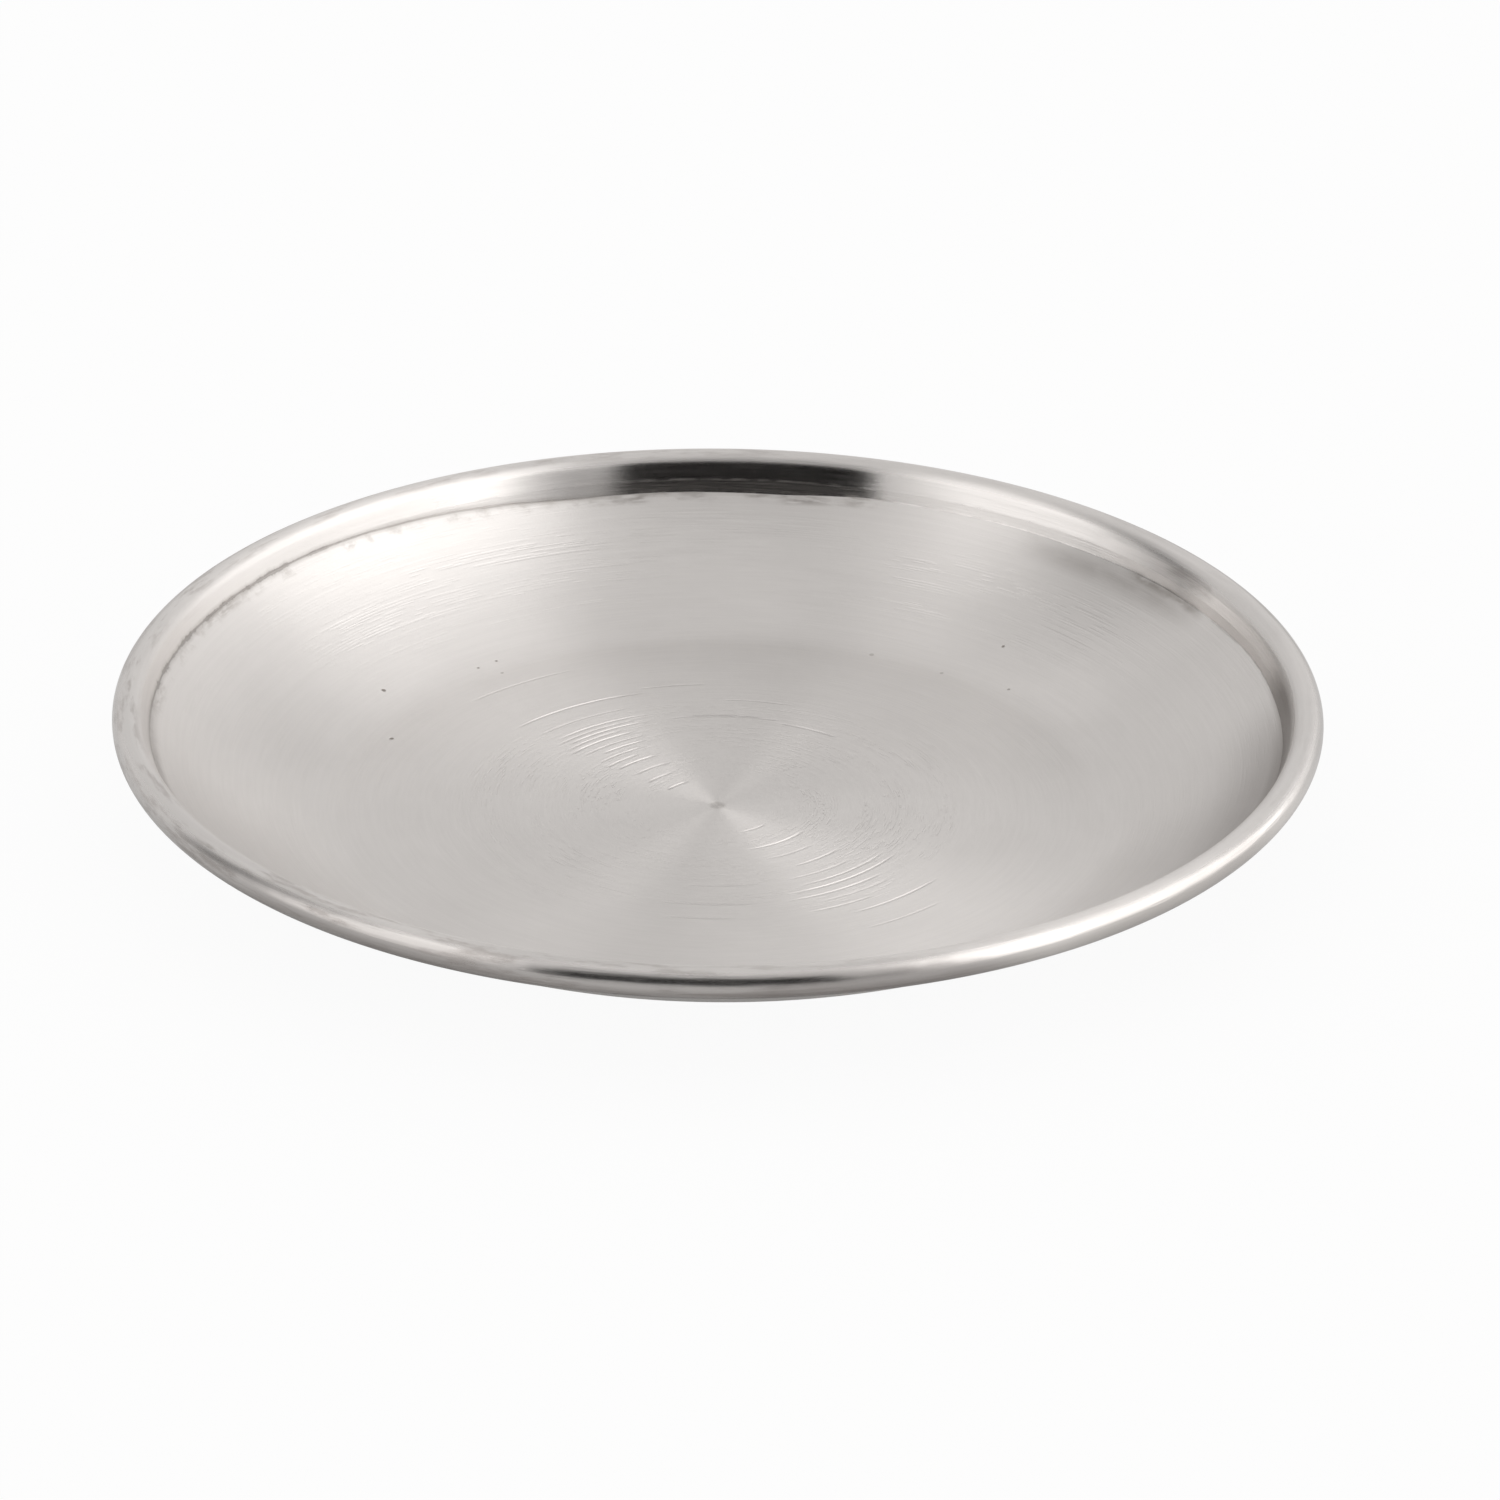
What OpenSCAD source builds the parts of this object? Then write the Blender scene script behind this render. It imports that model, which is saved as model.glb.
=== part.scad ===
// Round platter pressed from one sheet of stainless steel, with a flat base,
// a gentle bend, a flared wall, a crease, a short riser and a rim rolled
// outwards and under into a hollow bead.
// Millimetres, +Z up, the origin at the centre of the underside.

/* [Platter] */
// Outer diameter over the rolled rim
rim_d = 260; // [220:1:340]
// Height from the table to the top of the rolled rim
platter_h = 28; // [20:0.5:36]
// Thickness of the sheet
sheet = 0.7; // [0.5:0.1:1.2]

/* [Bend and wall] */
// Radius of the bend between the base and the wall
bend_r = 30; // [15:1:60]
// Slope of the wall where it leaves the bend, in degrees
wall_start = 20; // [12:1:26]
// Slope of the wall where it ends at the crease, in degrees
wall_angle = 42; // [38:1:50]

/* [Crease and riser] */
// Inner radius of the crease between the wall and the riser
crease_r = 0.8; // [0.4:0.1:2]
// Slope of the straight riser that carries the roll, in degrees
riser_angle = 68; // [62:1:80]
// Length of the riser along its slope
riser_l = 4.8; // [2.5:0.1:8]

/* [Rolled rim] */
// Outer diameter of the roll
roll_d = 6.8; // [4:0.1:10]
// Gap between the roll's free edge and the back of the riser
roll_gap = 0.5; // [0.2:0.1:1]

/* [Hidden] */

// Turn between two neighbouring points of an arc, in degrees
arc_step = 5;
// Sides of the round body
round_sides = 180;

// Centre of the roll's section, as radius and height
roll_r = roll_d / 2;
roll_centre = [rim_d / 2 - roll_r, platter_h - roll_r];

// The riser leaves the crease and meets the roll along a shared tangent
riser_dir = [cos(riser_angle), sin(riser_angle)];
riser_out = [sin(riser_angle), -cos(riser_angle)];
crease_centre = roll_centre - (crease_r + roll_r) * riser_out - riser_l * riser_dir;

// The wall is one arc from the bend to the crease
bend_rise = bend_r * (1 - cos(wall_start));
wall_rise = crease_centre.y - crease_r * cos(wall_angle) - sheet - bend_rise;
wall_r = wall_rise / (cos(wall_start) - cos(wall_angle));
wall_centre = crease_centre + (wall_r - crease_r) * [-sin(wall_angle), cos(wall_angle)];

// The bend is level where it leaves the base
bend_centre = wall_centre + (wall_r - bend_r) * [sin(wall_start), -cos(wall_start)];

// The roll turns until its free edge stands one gap off the back of the riser
roll_turn = 360 - acos((roll_r - sheet - roll_gap) / roll_r);

// Points of an arc from one angle to another, both ends included
function arc(centre, r, from, to) =
    let (steps = ceil(abs(to - from) / arc_step))
    [for (i = [0:steps])
        let (a = from + (to - from) * i / steps)
        centre + r * [cos(a), sin(a)]];

// One face of the sheet, from the middle to the free edge, at a depth below
// the upper face
function face(depth) = concat(
    [[0, sheet - depth]],
    arc(bend_centre, bend_r + depth, -90, wall_start - 90),
    arc(wall_centre, wall_r + depth, wall_start - 90, wall_angle - 90),
    arc(crease_centre, crease_r + depth, wall_angle - 90, riser_angle - 90),
    arc(roll_centre, roll_r - depth, riser_angle + 90, riser_angle + 90 - roll_turn));

function reversed(list) = [for (i = [len(list) - 1:-1:0]) list[i]];

// Section of the sheet, the same thickness from the middle to the free edge
module sheet_section() {
    polygon(concat(face(0), reversed(face(sheet))));
}

// The whole platter is one pressed and rolled sheet
module platter() {
    color("silver")
        rotate_extrude($fn = round_sides) sheet_section();
}

platter();
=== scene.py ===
import math

import bmesh
import bpy
from mathutils import Matrix, Vector, noise


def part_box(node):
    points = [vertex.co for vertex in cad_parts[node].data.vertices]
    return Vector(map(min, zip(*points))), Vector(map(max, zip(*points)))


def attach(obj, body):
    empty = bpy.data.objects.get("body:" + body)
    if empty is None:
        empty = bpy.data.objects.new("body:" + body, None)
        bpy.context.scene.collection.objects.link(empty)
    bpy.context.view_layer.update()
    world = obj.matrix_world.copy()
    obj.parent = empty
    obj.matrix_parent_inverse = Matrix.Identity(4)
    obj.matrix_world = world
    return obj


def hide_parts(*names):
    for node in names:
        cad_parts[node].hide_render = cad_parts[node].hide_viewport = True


# A round platter pressed from one sheet of steel: a flat base, a gentle bend,
# a flared wall, a crease, a short riser and a rim rolled outwards and under.
# Metres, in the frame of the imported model. Angles round the platter are in
# degrees from the right of the photograph, and positive towards its back.

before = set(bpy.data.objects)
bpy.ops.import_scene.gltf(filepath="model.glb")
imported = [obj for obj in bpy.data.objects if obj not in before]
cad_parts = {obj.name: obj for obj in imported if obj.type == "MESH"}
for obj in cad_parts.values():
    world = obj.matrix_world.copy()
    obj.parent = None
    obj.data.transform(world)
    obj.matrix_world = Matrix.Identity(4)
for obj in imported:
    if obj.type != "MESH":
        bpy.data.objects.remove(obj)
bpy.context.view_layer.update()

MM = 0.001
QUARTER = math.pi / 2

# The sheet's section, as in the part
SHEET = 0.7 * MM
BASE_R = 80.2 * MM
BEND_R = 30 * MM
WALL_START = math.radians(20)
RISER_ANGLE = math.radians(68)
ROLL_R = 3.4 * MM
ROLL_GAP = 0.5 * MM

# The crease: a fold at the foot of the riser. At the back and the right the
# fold lies lower and a narrow steep step stands between it and the riser.
RISER_LENGTH = 3.4 * MM
RIDGE_R = 1.0 * MM
FOLD_R = 0.8 * MM
STEP_ANGLE = math.radians(72.5)
STEP_LEFT = 0.05 * MM
STEP_RIGHT = 2.0 * MM
STEP_BACK = 0.7 * MM
STEP_WAVE = 0.35 * MM
STEP_WAVES = 5
GROOVE_DEPTH = 0.06 * MM
GROOVE_HALF = 0.18 * MM

# Distance along the sheet from the ridge to the foot of the roll
ROLL_START = 3.5 * MM

# Mesh steps
AROUND = 440
FLAT_RINGS = 8
BEND_STEPS = 12
WALL_STEPS = 22
STEP_STEPS = 3
CREASE_STEPS = 6
RISER_STEPS = 4
ROLL_STEPS = 48
FOLD_INDEX = FLAT_RINGS + BEND_STEPS + WALL_STEPS + CREASE_STEPS // 2
RIDGE_INDEX = FLAT_RINGS + BEND_STEPS + WALL_STEPS + CREASE_STEPS + STEP_STEPS + CREASE_STEPS

# Pits and small dents: angle round the platter, millimetres from the middle,
# size in millimetres, and depth from 0 to 1
PITS = [
    (145.0, 90.6, 0.60, 1.0),
    (156.3, 78.3, 0.62, 1.0),
    (128.9, 85.5, 0.40, 0.8),
    (125.4, 85.9, 0.40, 0.9),
    (126.6, 81.0, 0.45, 0.6),
    (48.5, 96.2, 0.45, 0.9),
    (41.5, 86.3, 0.40, 0.7),
    (65.5, 83.0, 0.70, 0.4),
    (53.0, 83.0, 0.55, 0.4),
    (0.0, 0.0, 2.20, 0.35),
]

# Arc scores: angle round the platter, half their length in degrees, then the
# distance from the middle and the depth in millimetres
SCORES = [
    (126.6, 12, 74.2, 0.12),
    (123.8, 18, 57.7, 0.30),
    (126.0, 15, 51.5, 0.12),
    (123.4, 16, 47.0, 0.26),
    (128.0, 15, 45.3, 0.18),
    (124.0, 15, 43.7, 0.28),
    (131.2, 12, 42.0, 0.20),
    (130.2, 14, 40.2, 0.30),
    (128.0, 14, 37.6, 0.18),
    (126.2, 10, 35.2, 0.30),
    (131.0, 12, 32.6, 0.20),
    (134.0, 10, 30.0, 0.24),
    (129.8, 13, 27.5, 0.28),
    (128.4, 13, 23.0, 0.20),
    (132.4, 13, 18.5, 0.20),
    (132.4, 14, 13.0, 0.26),
    (305.4, 14, 13.7, 0.20),
    (307.9, 22, 22.0, 0.32),
    (305.0, 14, 27.5, 0.16),
    (311.4, 12, 33.0, 0.22),
    (306.0, 14, 38.0, 0.16),
    (312.0, 18, 41.6, 0.22),
    (310.1, 22, 44.2, 0.30),
    (303.2, 16, 47.2, 0.26),
    (306.2, 12, 50.0, 0.16),
    (300.0, 9, 53.5, 0.20),
    (312.2, 13, 57.7, 0.22),
    (308.0, 10, 65.0, 0.14),
    (88.0, 17, 43.9, 0.42),
    (61.8, 10, 42.6, 0.32),
    (80.0, 10, 52.2, 0.12),
    (100.0, 8, 60.0, 0.12),
    (267.6, 14, 46.7, 0.26),
    (272.0, 12, 38.0, 0.22),
    (266.0, 9, 53.0, 0.20),
]
SCORE_HALF = 0.55 * MM
SCORE_FULL_SHARE = 0.4

# Marks at one side of the crease: angle round the platter, half widths where
# the mark is full and where it ends, then the band that it covers across the
# sheet, from the fold, and how soft the band's edges are, in millimetres
SIDE_MARKS = {
    "smear": (34.5, 3.0, 7.5, -1.6, 0.3, 0.9),
    # painted shade on the wall just below the fold at the right, towards the back, streaky
    "painted_wall_shade": (41.5, 5.0, 15.0, -5.4, -1.4, 2.6),
    # pale and pale_back are painted highlights: a paler colour on the riser at the right in place of
    # a brighter reflection
    "pale": (18.5, 8.0, 15.0, 0.3, 5.0, 0.4),
    "pale_back": (39.5, 3.0, 7.0, 0.3, 5.0, 0.6),
    # a painted dark reflection on the fold and the riser at the near right
    "painted_dark_reflection": (-5.0, 6.0, 18.0, -0.4, 4.8, 1.0),
    "shade_left": (207.0, 12.0, 34.0, -1.8, 0.8, 1.3),
    "shade_edge": (-24.0, 12.0, 28.0, -2.6, 2.0, 1.4),
    # painted shade on the fold and the riser at the back, deepening the dark reflection there
    "painted_back_shade": (92.0, 9.0, 16.0, -0.9, 4.6, 0.5),
}

# Studio, with the cards at this distance from the platter
STUDIO_R = 3.0
CARD_STEP = 0.05
CARD_COLUMNS = 32
CARD_ROWS = 24
WORLD_LEVEL = 0.87
LIGHT_WARMTH = 0.017
FLOOR_HALF = 5.0
FLOOR_COLOUR = 0.80
FLOOR_GLOW = 0.94
FLOOR_GLOW_IN_STEEL = 0.2

# Soft-edged cards, each a little nearer than the one before it: azimuth from
# the camera's side, positive to its right, elevation, brightness, and how soft
# the left, right, lower and upper edges are, in degrees. Black flags have a
# brightness of 0.
CARDS = [
    ("ceiling", (-180, 180), (74, 90), 1.15, (0.1, 0.1, 6, 6)),
    ("right_box", (44, 131), (7, 67), 2.25, (8, 13, 9, 13)),
    ("left_box", (-86, -45), (7, 59), 1.58, (6, 11, 7, 4)),
    ("camera_side", (-41, 10), (41, 70), 0.64, (7, 8, 7, 5)),
    ("camera_edge", (15, 34), (-8, 28), 0.52, (2, 5, 8, 9)),
    ("camera_flag", (-32.5, 22), (-8, 48), 0.0, (1.5, 3, 8, 3)),
    ("right_flag", (124, 170), (27, 67), 0.0, (4, 3, 6, 11)),
    ("back_box", (128, 181), (28, 58), 1.17, (2, 4, 13, 4)),
    ("back_left", (-172, -141), (40, 53), 1.15, (4, 6, 6, 5)),
    ("left_flag", (-112, -97), (7, 58), 0.2, (5, 6, 13, 5)),
    ("back_low", (145, 185), (9, 15), 1.20, (9, 2, 4, 3)),
    ("right_back", (140, 160), (34, 64), 0.98, (9, 6, 5, 4)),
    ("left_top", (-86, -65), (50, 61), 2.05, (5, 6, 4, 4)),
    ("right_low", (132, 150), (11, 26), 1.35, (6, 8, 5, 5)),
]

# Camera, measured from the middle of the rim's plane, with the size and the
# place of the rim in the photograph's pixels
RIM_R = 130 * MM
CAMERA_ELEVATION = math.radians(26.02)
CAMERA_ROLL = math.radians(0.40)
CAMERA_DISTANCE = 13.5 * RIM_R
CAMERA_FAR = 50
SENSOR = 36.0
PHOTO_SIZE = 1500
RIM_SCALE = 604.5
RIM_CENTRE_PX = (717.8, 706.2)


def smooth(low, high, x):
    """0 below low, 1 above high and an S curve between them."""
    t = min(max((x - low) / (high - low), 0), 1)
    return t * t * (3 - 2 * t)


def polar(angle):
    return Vector((math.cos(angle), math.sin(angle)))


def arc(centre, r, start, end, steps):
    """Points on an arc, both ends included."""
    return [centre + r * polar(start + (end - start) * i / steps) for i in range(steps + 1)]


def between(start, end, steps):
    """Points between two others, without them."""
    return [start.lerp(end, i / steps) for i in range(1, steps)]


def add_mesh(name, verts, faces):
    """A new object in the scene, from points and faces."""
    mesh = bpy.data.meshes.new(name)
    mesh.from_pydata(verts, [], faces)
    obj = bpy.data.objects.new(name, mesh)
    bpy.context.scene.collection.objects.link(obj)
    return obj


def add_marks(obj, name, values):
    """A named value at each point of an object, for its material."""
    obj.data.attributes.new(name, "FLOAT", "POINT").data.foreach_set("value", values)


def step_length(angle):
    """Length of the steep step under the riser, at an angle round the platter."""
    degrees = math.degrees(angle) % 360
    left = smooth(100, 140, degrees) - smooth(250, 330, degrees)
    back = smooth(72, 84, degrees) - smooth(104, 120, degrees)
    length = STEP_RIGHT + (STEP_LEFT - STEP_RIGHT) * left + STEP_BACK * back
    around = Vector((math.cos(angle), math.sin(angle), 0))
    wave = STEP_WAVE * (1 - left) * noise.noise(around * STEP_WAVES)
    return max(length + wave, STEP_LEFT)


def groove_depth(angle, mark):
    """Depth of the fine groove pressed into the fold, deepest at the back left."""
    side = math.cos(angle)
    back = math.sin(angle)
    share = 0.25 + 0.75 * smooth(0.1, 0.4, -side) * smooth(-0.5, 0.1, back)
    return GROOVE_DEPTH * share * math.exp(-((mark / GROOVE_HALF) ** 2))


def section(step, rim_r, height):
    """Upper and lower faces of the sheet's section, from the middle to the free edge."""
    roll = Vector((rim_r - ROLL_R, height - ROLL_R))
    riser_out = polar(RISER_ANGLE - QUARTER)
    step_out = polar(STEP_ANGLE - QUARTER)
    ridge = roll - (ROLL_R - RIDGE_R) * riser_out - RISER_LENGTH * polar(RISER_ANGLE)
    fold = ridge - (RIDGE_R + FOLD_R) * step_out - step * polar(STEP_ANGLE)
    bend = Vector((BASE_R, SHEET + BEND_R))

    # The wall's arc leaves the bend along a shared tangent and touches the fold's arc
    leave = polar(WALL_START - QUARTER)
    start = bend + BEND_R * leave
    way = fold - start
    wall_r = (way.length_squared - FOLD_R ** 2) / (2 * (-leave.dot(way) - FOLD_R))
    wall = start - wall_r * leave
    wall_end = math.atan2(fold.x - wall.x, wall.y - fold.y)
    sweep = 2 * math.pi - math.acos((ROLL_R - SHEET - ROLL_GAP) / ROLL_R)

    def face(depth):
        base = [Vector((BASE_R * i / FLAT_RINGS, SHEET - depth)) for i in range(FLAT_RINGS)]
        bent = arc(bend, BEND_R + depth, -QUARTER, WALL_START - QUARTER, BEND_STEPS)
        flared = arc(wall, wall_r + depth, WALL_START - QUARTER, wall_end - QUARTER, WALL_STEPS)
        folded = arc(fold, FOLD_R + depth, wall_end - QUARTER, STEP_ANGLE - QUARTER, CREASE_STEPS)
        turned = arc(
            ridge, depth - RIDGE_R, STEP_ANGLE - QUARTER, RISER_ANGLE - QUARTER, CREASE_STEPS
        )
        rolled = arc(
            roll, ROLL_R - depth, RISER_ANGLE + QUARTER, RISER_ANGLE + QUARTER - sweep, ROLL_STEPS
        )
        steep = between(folded[-1], turned[0], STEP_STEPS)
        riser = between(turned[-1], rolled[0], RISER_STEPS)
        return base + bent[:-1] + flared[:-1] + folded + steep + turned + riser + rolled

    return face(0), face(SHEET)


def lengths(points, middle):
    """Distance of each point from one of them, along the sheet."""
    along = [0.0]
    for a, b in zip(points, points[1:]):
        along.append(along[-1] + (b - a).length)
    return [s - along[middle] for s in along]


def band_faces(first, second, count):
    """Faces between two neighbouring sections of as many points, whose first and
    last points lie on the axis."""
    faces = [(first, first + 1, second + 1)]
    for i in range(1, count - 2):
        faces.append((first + i, first + i + 1, second + i + 1, second + i))
    last = count - 2
    faces.append((first + last, first + last + 1, second + last))
    return faces


def polish(fold_mark, mark):
    """1 on the polished step and riser, 0 on the wall and the roll."""
    roll_share = smooth(ROLL_START - 0.6 * MM, ROLL_START + 1.6 * MM, mark)
    return smooth(-0.4 * MM, 0.4 * MM, fold_mark) * (1 - roll_share)


def build_sheet():
    """The pressed and rolled sheet, built section by section round the Z axis."""
    low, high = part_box("platter")
    rim_r = min(high.x, high.y)
    verts, faces, from_ridge, from_fold, polished = [], [], [], [], []
    for j in range(AROUND):
        angle = 2 * math.pi * j / AROUND
        upper, lower = section(step_length(angle), rim_r, high.z)
        above = lengths(upper, RIDGE_INDEX)
        loop = list(zip(upper, above)) + list(zip(lower, above))[::-1]
        for point, mark in loop:
            fold_mark = mark - above[FOLD_INDEX]
            rise = point.y - groove_depth(angle, fold_mark)
            verts.append((point.x * math.cos(angle), point.x * math.sin(angle), rise))
            from_ridge.append(mark)
            from_fold.append(fold_mark)
            polished.append(polish(fold_mark, mark))
        count = len(loop)
        faces += band_faces(j * count, (j + 1) % AROUND * count, count)
    piece = add_mesh("platter_sheet", verts, faces)
    add_marks(piece, "from_ridge", from_ridge)
    add_marks(piece, "from_fold", from_fold)
    add_marks(piece, "polished", polished)
    weld(piece.data)
    return piece


def weld(mesh):
    """Joins the points at the middle and turns the faces outwards."""
    bm = bmesh.new()
    bm.from_mesh(mesh)
    bmesh.ops.remove_doubles(bm, verts=bm.verts, dist=0.001 * MM)
    bmesh.ops.recalc_face_normals(bm, faces=bm.faces)
    bm.to_mesh(mesh)
    bm.free()
    mesh.shade_smooth()
    mesh.set_sharp_from_angle(angle=math.radians(40))


class Nodes:
    """A short way to write a node tree: each call adds nodes and returns an output."""

    def __init__(self, tree):
        self.tree = tree
        tree.nodes.clear()

    def node(self, kind, inputs=None, **settings):
        node = self.tree.nodes.new(kind)
        for name, value in settings.items():
            setattr(node, name, value)
        for key, value in (inputs or {}).items():
            if isinstance(value, bpy.types.NodeSocket):
                self.tree.links.new(value, node.inputs[key])
            else:
                node.inputs[key].default_value = value
        return node

    def add(self, kind, inputs=None, output=0, **settings):
        return self.node(kind, inputs, **settings).outputs[output]

    def attribute(self, name):
        return self.add("ShaderNodeAttribute", output=2, attribute_name=name)

    def math(self, operation, a, b=0.0, c=0.0, clamp=False):
        return self.add(
            "ShaderNodeMath", {0: a, 1: b, 2: c}, operation=operation, use_clamp=clamp
        )

    def scaled(self, value, factor, offset=0.0):
        return self.math("MULTIPLY_ADD", value, factor, offset)

    def product(self, *values):
        out = values[0]
        for value in values[1:]:
            out = self.math("MULTIPLY", out, value)
        return out

    def largest(self, *values):
        out = values[0]
        for value in values[1:]:
            out = self.math("MAXIMUM", out, value)
        return out

    def ramp(self, value, low, high, to_low=0.0, to_high=1.0):
        return self.add(
            "ShaderNodeMapRange",
            {0: value, 1: low, 2: high, 3: to_low, 4: to_high},
            interpolation_type="SMOOTHSTEP",
        )

    def window(self, value, low, high, soft):
        """1 between two values and 0 outside them, with soft ends."""
        rise = self.ramp(value, low - soft, low + soft)
        fall = self.ramp(value, high - soft, high + soft, 1.0, 0.0)
        return self.product(rise, fall)

    def mix(self, share, a, b):
        return self.add("ShaderNodeMix", {0: share, 6: a, 7: b}, output=2, data_type="RGBA")

    def noise(self, vector, scale, detail=2.0, roughness=0.5):
        return self.add(
            "ShaderNodeTexNoise",
            {"Vector": vector, "Scale": scale, "Detail": detail, "Roughness": roughness},
        )


class RoundNodes(Nodes):
    """Nodes for a sheet that is brushed in circles about the Z axis."""

    def __init__(self, tree):
        super().__init__(tree)
        self.place = self.add("ShaderNodeTexCoord", output=3)
        self.x, self.y, self.z = self.node("ShaderNodeSeparateXYZ", {0: self.place}).outputs
        squares = self.math("ADD", self.product(self.x, self.x), self.product(self.y, self.y))
        self.radius = self.math("SQRT", squares)
        safe = self.largest(self.radius, 0.1 * MM)
        self.side_x = self.math("DIVIDE", self.x, safe)
        self.side_y = self.math("DIVIDE", self.y, safe)
        self.mark = self.attribute("from_ridge")
        self.fold = self.attribute("from_fold")
        self.polished = self.attribute("polished")

    def towards(self, degrees, inner, outer):
        """1 near one angle round the platter, fading between two half widths."""
        turn = math.radians(degrees)
        across = self.product(self.side_y, math.sin(turn))
        dot = self.scaled(self.side_x, math.cos(turn), across)
        return self.ramp(dot, math.cos(math.radians(outer)), math.cos(math.radians(inner)))

    def around(self, across, turns, detail=2.0, roughness=0.5):
        """Noise over a value across the circles and the angle along them, with
        changes per radian."""
        vector = self.add(
            "ShaderNodeCombineXYZ",
            {0: across, 1: self.product(self.side_x, turns), 2: self.product(self.side_y, turns)},
        )
        return self.noise(vector, 1.0, detail, roughness)

    def rings(self, per_mm, turns, detail=2.0, roughness=0.5, shift=0.0):
        """Noise drawn out along the circles, with changes per millimetre across them."""
        return self.around(self.scaled(self.mark, per_mm / MM, shift), turns, detail, roughness)

    def hairlines(self, width, turns, low, high, shift):
        """Sparse arcs, each one line wide, that fade in and out along the circles."""
        cell = self.scaled(self.mark, 1 / width, shift)
        row = self.math("FLOOR", cell)
        off = self.math("ABSOLUTE", self.math("SUBTRACT", self.math("FRACT", cell), 0.5))
        shown = self.ramp(self.around(self.product(row, 7.31), turns, 1.0), low, high)
        return self.product(shown, self.ramp(off, 0.2, 0.5, 1.0, 0.0))

    def side_mark(self, name):
        angle, inner, outer, low, high, soft = SIDE_MARKS[name]
        band = self.window(self.fold, low * MM, high * MM, soft * MM)
        return self.product(self.towards(angle, inner, outer), band)


def grey(level, warmth=0.0):
    return (level * (1 + warmth), level, level * (1 - 0.76 * warmth), 1)


def steel(level):
    return grey(level, 0.03)


# Colours laid over the clean steel, in this order: the mark's name, its
# strength and its colour
# Several of these are painted shade and painted highlights, as marked below.
COATS = [
    ("brushed", 0.11, steel(0.43)),
    ("scratches", 0.15, steel(0.68)),
    # a painted highlight on the riser at the right
    ("pale", 0.72, (0.85, 0.82, 0.80, 1)),
    ("halo", 0.30, (0.28, 0.26, 0.242, 1)),
    ("dirt", 0.55, (0.155, 0.142, 0.130, 1)),
    ("tarnish", 0.45, (0.32, 0.292, 0.268, 1)),
    # painted shade on the wall just below the fold at the right, towards the back
    ("painted_wall_shade", 0.40, (0.22, 0.20, 0.185, 1)),
    ("smear", 0.60, (0.20, 0.178, 0.160, 1)),
    # a painted dark reflection on the fold and the riser at the near right
    ("painted_dark_reflection", 0.84, (0.24, 0.218, 0.203, 1)),
    ("shade", 0.60, (0.26, 0.24, 0.23, 1)),
    ("shade_edge", 0.55, (0.22, 0.203, 0.19, 1)),
    # painted shade on the fold and the riser at the back
    ("painted_back_shade", 0.14, (0.20, 0.175, 0.155, 1)),
    ("smudges", 0.38, (0.34, 0.308, 0.290, 1)),
    # the roll's underside darker, most at the front left
    ("darker_underside", 0.85, (0.22, 0.195, 0.18, 1)),
    # a painted dark line along the roll's outer edge at the back, in place of a dark reflection
    ("painted_edge_shade", 0.45, (0.26, 0.23, 0.215, 1)),
    # a painted highlight on the lower part of the roll at the near right
    ("painted_roll_highlight", 0.75, (0.85, 0.82, 0.79, 1)),
    ("pits", 0.8, (0.16, 0.14, 0.12, 1)),
    # the roll's outer face a little darker, more so in three spots at the front
    ("dimmed", 1.0, (0.22, 0.20, 0.19, 1)),
]

# What each mark adds to the roughness
ROUGHER = [
    ("outer", -0.115),
    ("riser_left", 0.13),
    ("riser_back", -0.03),
    ("scratches", 0.03),
    ("worn", 0.08),
    ("tarnish", 0.12),
    ("smudges", 0.06),
]

# How far each mark stands proud of the surface, in millimetres
RELIEF = [
    ("fine", 0.020),
    ("coarse", 0.045),
    ("scratches", -0.055),
    ("scores", -1.0),
    ("pits", -0.12),
    ("waves", 0.12),
]


def brushing(n):
    """Fine even lines, and sparse arcs where the brush dug in."""
    in_base = n.window(n.radius, 14 * MM, 56 * MM, 6 * MM)
    in_wall = n.window(n.radius, 97 * MM, 114 * MM, 6 * MM)
    streaky = n.largest(n.towards(121.0, 12.0, 30.0), n.towards(56.0, 10.0, 24.0))
    in_wall = n.product(in_wall, n.scaled(streaky, 0.55, 0.2))
    groups = n.ramp(n.rings(0.20, 1.5, detail=3.0, shift=11.0), 0.38, 0.62, 0.15, 1.0)
    long_arcs = n.hairlines(0.70 * MM, 5.5, 0.52, 0.60, 0.0)
    short_arcs = n.hairlines(0.50 * MM, 12.0, 0.55, 0.63, 0.37)
    scratches = n.product(n.largest(long_arcs, short_arcs), n.largest(in_base, in_wall, 0.2), groups)
    inner = n.ramp(n.radius, 84 * MM, 70 * MM)
    coarse = n.product(n.rings(0.85, 5.0, detail=3.0, shift=5.0), n.scaled(in_base, 0.55, inner))
    return {
        "fine": n.rings(1.8, 7.0, detail=4.0, roughness=0.65),
        "coarse": coarse,
        "scratches": n.product(scratches, n.scaled(n.polished, -0.6, 1.0)),
        "brushed": n.ramp(n.rings(1.1, 4.0, detail=4.0, roughness=0.7, shift=3.0), 0.3, 0.7),
    }


def scores(n):
    """Depth of the arc scores, in millimetres."""
    deepest = 0.0
    for angle, half, distance, depth in SCORES:
        aside = n.math("ABSOLUTE", n.math("SUBTRACT", n.radius, distance * MM))
        across = n.ramp(aside, 0.0, SCORE_HALF, depth, 0.0)
        score = n.product(across, n.towards(angle, SCORE_FULL_SHARE * half, half))
        deepest = n.largest(score, deepest)
    return deepest


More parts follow.
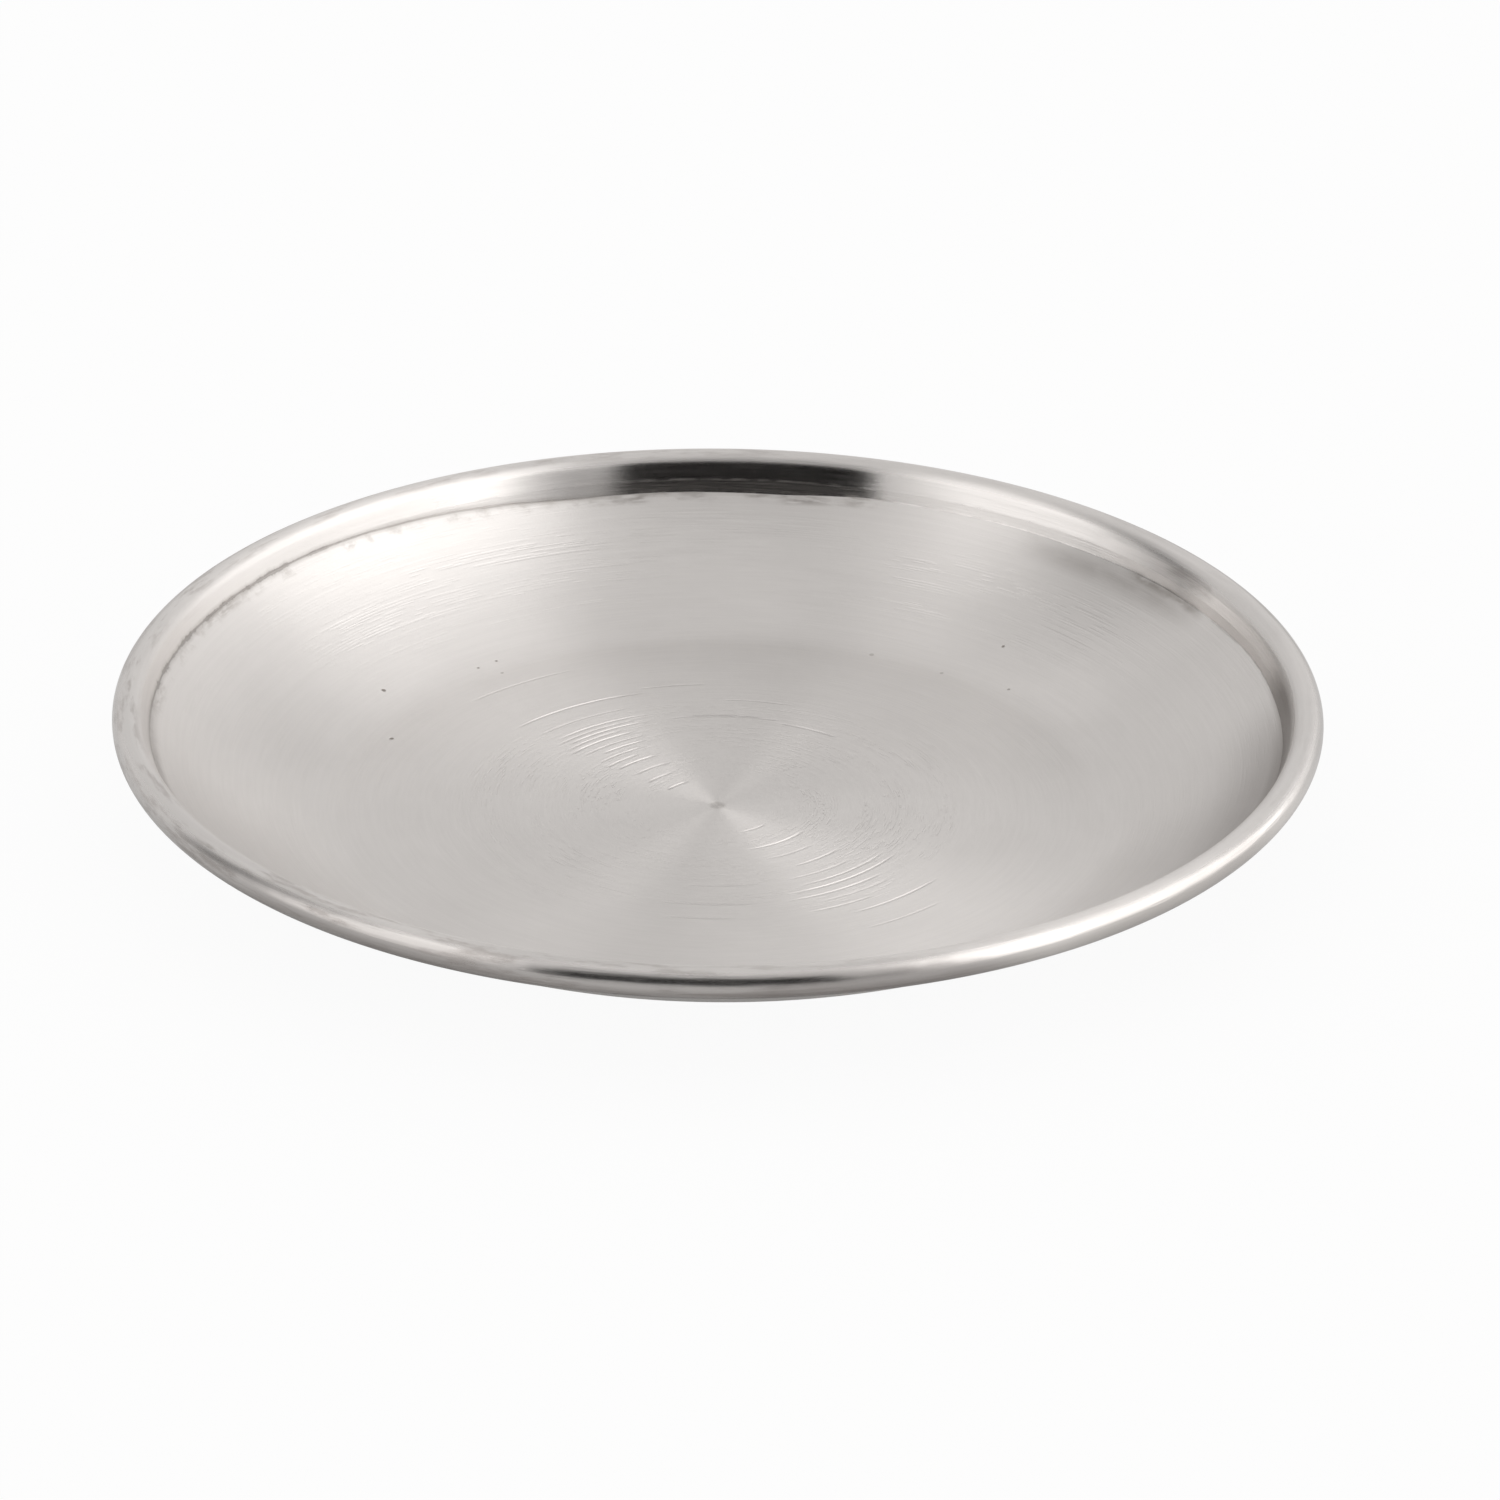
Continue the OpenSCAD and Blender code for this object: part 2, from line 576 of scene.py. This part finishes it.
def pits(n):
    """The pits and small dents of the upper face."""
    deepest = 0.0
    flat = n.add("ShaderNodeCombineXYZ", {0: n.x, 1: n.y})
    for angle, distance, size, depth in PITS:
        spot = distance * MM * polar(math.radians(angle)).to_3d()
        away = n.add("ShaderNodeVectorMath", {0: flat, 1: spot}, output=1, operation="DISTANCE")
        pit = n.ramp(away, 0.5 * size * MM, size * MM, depth, 0.0)
        deepest = n.largest(pit, deepest)
    return n.product(deepest, n.ramp(n.z, 0.3 * MM, 0.5 * MM))


def fold_marks(n):
    """Tarnish and dirt in the fold and beside it, most of it at the back left."""
    back_left = n.product(n.ramp(n.side_x, -0.12, -0.3), n.ramp(n.side_y, -0.35, 0.1))
    wobble = n.scaled(n.rings(0.1, 14.0), 0.4 * MM, -0.2 * MM)
    off_line = n.math("ABSOLUTE", n.math("ADD", n.fold, wobble))
    blots = n.ramp(n.noise(n.place, 210.0, detail=4.0, roughness=0.7), 0.46, 0.66)
    blots = n.product(blots, n.towards(160.0, 10.0, 30.0))
    off_line = n.scaled(blots, -0.42 * MM, off_line)
    thin_line = n.ramp(off_line, 0.05 * MM, 0.38 * MM, 1.0, 0.0)
    broken = n.ramp(n.rings(0.1, 22.0, detail=4.0), 0.35, 0.6)
    clumps = n.ramp(n.noise(n.place, 70.0, detail=4.0, roughness=0.6), 0.48, 0.68)
    beside = n.window(n.fold, -2.2 * MM, 0.5 * MM, 0.9 * MM)
    beside = n.product(beside, n.ramp(n.side_x, 0.75, 0.45))
    streaks = n.ramp(n.rings(1.4, 30.0, detail=4.0), 0.35, 0.6)
    specks = n.ramp(n.noise(n.place, 220.0, detail=4.0, roughness=0.65), 0.50, 0.66)
    fuzz = n.product(specks, back_left, n.window(n.fold, -2.6 * MM, 0.2 * MM, 1.2 * MM), 0.55)
    on_ridge = n.ramp(n.math("ABSOLUTE", n.mark), 0.1 * MM, 0.4 * MM, 1.0, 0.0)
    return {
        "dirt": n.product(thin_line, n.largest(back_left, n.product(broken, 0.45))),
        "halo": n.product(n.ramp(off_line, 0.2 * MM, 1.3 * MM, 1.0, 0.0), back_left),
        "tarnish": n.largest(n.product(clumps, beside, streaks), fuzz),
        "worn": n.product(on_ridge, broken, n.ramp(n.side_x, 0.85, 0.60)),
    }


def side_marks(n):
    """Smears at the right, a painted highlight and a painted dark reflection on the
    riser there, painted shade on the wall below the fold there, soft shades at both sides and
    painted shade on the riser at the back."""
    blur = n.ramp(n.rings(0.4, 20.0, detail=3.0), 0.25, 0.60)
    high_band = n.window(n.mark, 1.0 * MM, 3.8 * MM, 0.9 * MM)
    high_smear = n.product(n.towards(31.5, 2.2, 5.0), high_band, 0.62)
    shade = n.product(n.towards(-20.0, 8.0, 30.0), n.ramp(n.fold, -22 * MM, 0.0))
    shade = n.product(shade, n.ramp(n.fold, 0.2 * MM, 1.0 * MM, 1.0, 0.0))
    return {
        "smear": n.product(n.largest(high_smear, n.side_mark("smear")), blur),
        # painted shade on the wall just below the fold at the right, towards the back
        "painted_wall_shade": n.product(n.side_mark("painted_wall_shade"), n.scaled(blur, 0.3, 0.7)),
        # a painted highlight on the riser at the right
        "pale": n.largest(n.side_mark("pale"), n.product(n.side_mark("pale_back"), 0.75)),
        # a painted dark reflection on the fold and the riser at the near right
        "painted_dark_reflection": n.side_mark("painted_dark_reflection"),
        "shade": n.largest(shade, n.side_mark("shade_left")),
        "shade_edge": n.side_mark("shade_edge"),
        # painted shade on the fold and the riser at the back
        "painted_back_shade": n.side_mark("painted_back_shade"),
        "riser_left": n.product(n.polished, n.ramp(n.side_x, -0.3, -0.65)),
        "riser_back": n.product(n.polished, n.towards(92.0, 14.0, 30.0)),
    }


def roll_marks(n):
    """Smudges on the roll, its outer face a little darker with darker spots at the
    front, a darker underside, a painted dark line along its outer edge at the back, a painted
    highlight low on the roll at the near right, and the roll's slight waves."""
    on_roll = n.window(n.mark, ROLL_START + 2 * MM, 15 * MM, 1.5 * MM)
    smudges = n.ramp(n.rings(0.45, 9.0, detail=5.0, roughness=0.65), 0.48, 0.66)
    streaks = n.ramp(n.rings(1.1, 6.0, detail=4.0), 0.40, 0.66)
    under = n.ramp(n.mark, ROLL_START + 7.5 * MM, ROLL_START + 12 * MM)
    front_left = n.scaled(n.towards(255.0, 25.0, 60.0), 0.35, 0.65)
    # band for a painted dark line along the roll's outer edge at the back
    painted_edge_shade = n.window(n.mark, ROLL_START + 5 * MM, ROLL_START + 7 * MM, 0.4 * MM)
    outer = n.ramp(n.mark, ROLL_START + 4 * MM, ROLL_START + 8 * MM)
    # three spots at the front where the roll's outer face is darker
    darker_spots = n.largest(
        n.towards(236.0, 6.0, 20.0), n.towards(285.0, 4.0, 14.0), n.towards(318.0, 7.0, 17.0)
    )
    below = n.ramp(n.mark, ROLL_START + 6 * MM, ROLL_START + 9 * MM)
    return {
        "smudges": n.product(on_roll, smudges, n.ramp(n.side_x, 0.5, -0.5, 0.25, 1.25)),
        # the roll's underside darker, most at the front left, streaky
        "darker_underside": n.product(under, front_left, n.scaled(streaks, 0.4, 0.6)),
        # a painted dark line along the roll's outer edge at the back
        "painted_edge_shade": n.product(painted_edge_shade, n.ramp(n.side_y, -0.1, 0.3), n.scaled(streaks, 0.6, 0.4)),
        "outer": outer,
        # the roll's outer face a little darker, more so in three spots at the front
        "dimmed": n.product(outer, n.scaled(darker_spots, 0.30, 0.08)),
        # a painted highlight on the lower part of the roll at the near right
        "painted_roll_highlight": n.product(n.towards(323.0, 12.0, 32.0), below),
        "waves": n.product(n.rings(0.25, 13.0, detail=1.0), on_roll),
    }


def coated(n, marks):
    """The steel's colour, with each mark's colour laid over it."""
    cloudy = n.ramp(n.noise(n.place, 30.0, detail=3.0), 0.3, 0.7)
    colour = n.mix(cloudy, steel(0.590), steel(0.615))
    for name, strength, coat in COATS:
        colour = n.mix(n.product(marks[name], strength), colour, coat)
    return colour


def weighted(n, start, marks, weights):
    """A value with each mark's weighted share added."""
    total = start
    for name, weight in weights:
        total = n.scaled(marks[name], weight, total)
    return total


def new_material(name):
    material = bpy.data.materials.new(name)
    material.use_nodes = True
    return material


def brushed_steel():
    """Stainless steel brushed in circles about the Z axis, with scores, pits,
    tarnish along the crease, smudges on the rim, and painted shade and painted highlights beside the
    crease and on the rim."""
    material = new_material("brushed_steel")
    n = RoundNodes(material.node_tree)
    marks = {"scores": scores(n), "pits": pits(n)}
    for layer in (brushing, fold_marks, side_marks, roll_marks):
        marks.update(layer(n))
    satin = n.ramp(n.polished, 0.0, 1.0, 0.315, 0.19)
    satin = n.math("ADD", satin, n.ramp(marks["fine"], 0.3, 0.7, -0.015, 0.015))
    height = weighted(n, 0.0, marks, RELIEF)
    shader = n.add(
        "ShaderNodeBsdfPrincipled",
        {
            "Base Color": coated(n, marks),
            "Metallic": 1.0,
            "Roughness": weighted(n, satin, marks, ROUGHER),
            "Anisotropic": 0.96,
            "Anisotropic Rotation": 0.25,
            "Normal": n.add("ShaderNodeBump", {"Strength": 1.0, "Distance": MM, "Height": height}),
            "Tangent": n.add("ShaderNodeTangent", direction_type="RADIAL", axis="Z"),
        },
    )
    n.node("ShaderNodeOutputMaterial", {"Surface": shader})
    return material


def card_glow(name, level):
    """Plain light that fades out towards the card's edges."""
    material = new_material(name)
    n = Nodes(material.node_tree)
    clear = n.add("ShaderNodeBsdfTransparent")
    glow = n.add("ShaderNodeEmission", {"Color": grey(1.0, LIGHT_WARMTH), "Strength": level})
    mixed = n.add("ShaderNodeMixShader", {0: n.attribute("fade"), 1: clear, 2: glow})
    n.node("ShaderNodeOutputMaterial", {"Surface": mixed})
    return material


def card(name, azimuth, elevation, level, soft, radius):
    """A soft-edged patch of a sphere round the platter, seen only in the steel."""
    left, right, low, high = soft
    az0, az1 = azimuth[0] - left, azimuth[1] + right
    el0, el1 = elevation[0] - low, min(elevation[1] + high, 90)
    verts, fades, faces = [], [], []
    for i in range(CARD_COLUMNS + 1):
        az = az0 + (az1 - az0) * i / CARD_COLUMNS
        turn = math.radians(az)
        ahead = Vector((math.sin(turn), -math.cos(turn), 0))
        sideways = smooth(azimuth[0] - left, azimuth[0] + left, az)
        sideways *= 1 - smooth(azimuth[1] - right, azimuth[1] + right, az)
        for j in range(CARD_ROWS + 1):
            el = el0 + (el1 - el0) * j / CARD_ROWS
            lift = math.radians(el)
            verts.append(radius * (math.cos(lift) * ahead + math.sin(lift) * Vector((0, 0, 1))))
            upwards = smooth(elevation[0] - low, elevation[0] + low, el)
            if elevation[1] < 90:
                upwards *= 1 - smooth(elevation[1] - high, elevation[1] + high, el)
            fades.append(sideways * upwards)
    for i in range(CARD_COLUMNS):
        for j in range(CARD_ROWS):
            a = i * (CARD_ROWS + 1) + j
            faces.append((a, a + 1, a + CARD_ROWS + 2, a + CARD_ROWS + 1))
    obj = add_mesh(name, verts, faces)
    add_marks(obj, "fade", fades)
    obj.visible_camera = False
    obj.visible_diffuse = False
    obj.visible_shadow = False
    obj.data.materials.append(card_glow(name, level))


def studio():
    """A pale room with soft boxes at both sides and black flags round the camera."""
    world = bpy.data.worlds.new("studio")
    bpy.context.scene.world = world
    world.use_nodes = True
    n = Nodes(world.node_tree)
    back = n.add("ShaderNodeBackground", {"Color": grey(WORLD_LEVEL, LIGHT_WARMTH), "Strength": 1.0})
    n.node("ShaderNodeOutputWorld", {"Surface": back})
    for order, (name, azimuth, elevation, level, soft) in enumerate(CARDS):
        card(name, azimuth, elevation, level, soft, STUDIO_R - CARD_STEP * order)


def pale_floor():
    """Pale to the camera and in the steel, and clear from below."""
    material = new_material("pale_floor")
    n = Nodes(material.node_tree)
    diffuse = n.add("ShaderNodeBsdfDiffuse", {"Color": grey(FLOOR_COLOUR)})
    glow = n.add("ShaderNodeEmission", {"Color": grey(1.0), "Strength": 1.0})
    path = n.node("ShaderNodeLightPath").outputs
    mirrored = n.math("ADD", path["Is Glossy Ray"], path["Is Transmission Ray"], clamp=True)
    share = n.scaled(mirrored, FLOOR_GLOW_IN_STEEL, n.product(path["Is Camera Ray"], FLOOR_GLOW))
    lit = n.add("ShaderNodeMixShader", {0: share, 1: diffuse, 2: glow})
    clear = n.add("ShaderNodeBsdfTransparent")
    from_below = n.add("ShaderNodeNewGeometry", output=6)
    both = n.add("ShaderNodeMixShader", {0: from_below, 1: lit, 2: clear})
    n.node("ShaderNodeOutputMaterial", {"Surface": both})
    return material


def floor():
    """A floor that keeps the platter's shadow."""
    half = FLOOR_HALF
    corners = [(-half, -half, 0), (half, -half, 0), (half, half, 0), (-half, half, 0)]
    plane = add_mesh("floor", corners, [(0, 1, 2, 3)])
    plane.location.z = -0.05 * MM
    plane.data.materials.append(pale_floor())


def camera():
    """The photograph's view, aimed so that the rim's middle lands where it lies there."""
    data = bpy.data.cameras.new("camera")
    obj = bpy.data.objects.new("camera", data)
    bpy.context.scene.collection.objects.link(obj)
    bpy.context.scene.camera = obj
    low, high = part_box("platter")
    centre = Vector((0, 0, high.z - ROLL_R))
    towards = Vector((0, -math.cos(CAMERA_ELEVATION), math.sin(CAMERA_ELEVATION)))
    right = Vector((1, 0, 0))
    up = towards.cross(right)
    px = RIM_R / RIM_SCALE
    half = PHOTO_SIZE / 2
    aim = centre + right * (half - RIM_CENTRE_PX[0]) * px - up * (half - RIM_CENTRE_PX[1]) * px
    place = centre + towards * CAMERA_DISTANCE
    look = (aim - place).normalized()
    side = look.cross(up).normalized()
    top = side.cross(look)
    turn = Matrix((side, top, -look)).transposed().to_4x4()
    obj.matrix_world = Matrix.Translation(place) @ turn @ Matrix.Rotation(CAMERA_ROLL, 4, "Z")
    data.sensor_width = SENSOR
    data.lens = SENSOR * RIM_SCALE / RIM_R * CAMERA_DISTANCE / PHOTO_SIZE
    data.clip_end = CAMERA_FAR


sheet = build_sheet()
sheet.data.materials.append(brushed_steel())
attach(sheet, "root")
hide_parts("platter")

studio()
floor()
camera()

bpy.context.scene.view_settings.view_transform = "Standard"
